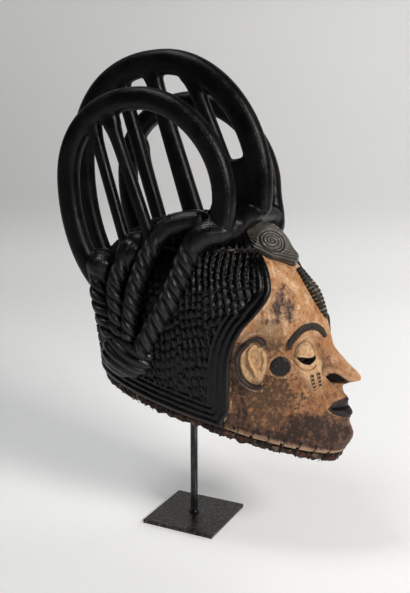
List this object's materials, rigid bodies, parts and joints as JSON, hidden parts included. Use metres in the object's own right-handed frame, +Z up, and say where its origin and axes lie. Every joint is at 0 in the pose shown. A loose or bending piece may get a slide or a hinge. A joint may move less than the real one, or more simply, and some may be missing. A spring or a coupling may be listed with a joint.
{
  "type": "crest mask on a stand",
  "caption": "Hollow carved wooden helmet mask with a painted face, raised hair, twisted tresses and tall strutted hoops over the crown, held up by a steel rod on a square plate.",
  "frame": {"origin": "middle of the stand plate's underside, on the surface it stands on", "axes": "+Z up along the rod, -Y the way the face looks, +X towards the mask's own left, plate edges parallel to X and Y"},
  "size_m": [0.2076, 0.3971, 0.6026],
  "materials": {
    "carved_wood": "carved wood, blackened and satin on hair and hoops, with a stained ochre face that has white kaolin and dark marks",
    "sewn_fibre": "matt rolled cloth and fibre, dark red-brown, sewn with black thread and frayed",
    "stand_steel": "black semi-gloss steel, worn along the edges"
  },
  "bodies": {
    "root": {"mask": "carved_wood", "rim_binding": "sewn_fibre", "stand_rod": "stand_steel", "stand_plate": "stand_steel"}
  },
  "joints": []
}
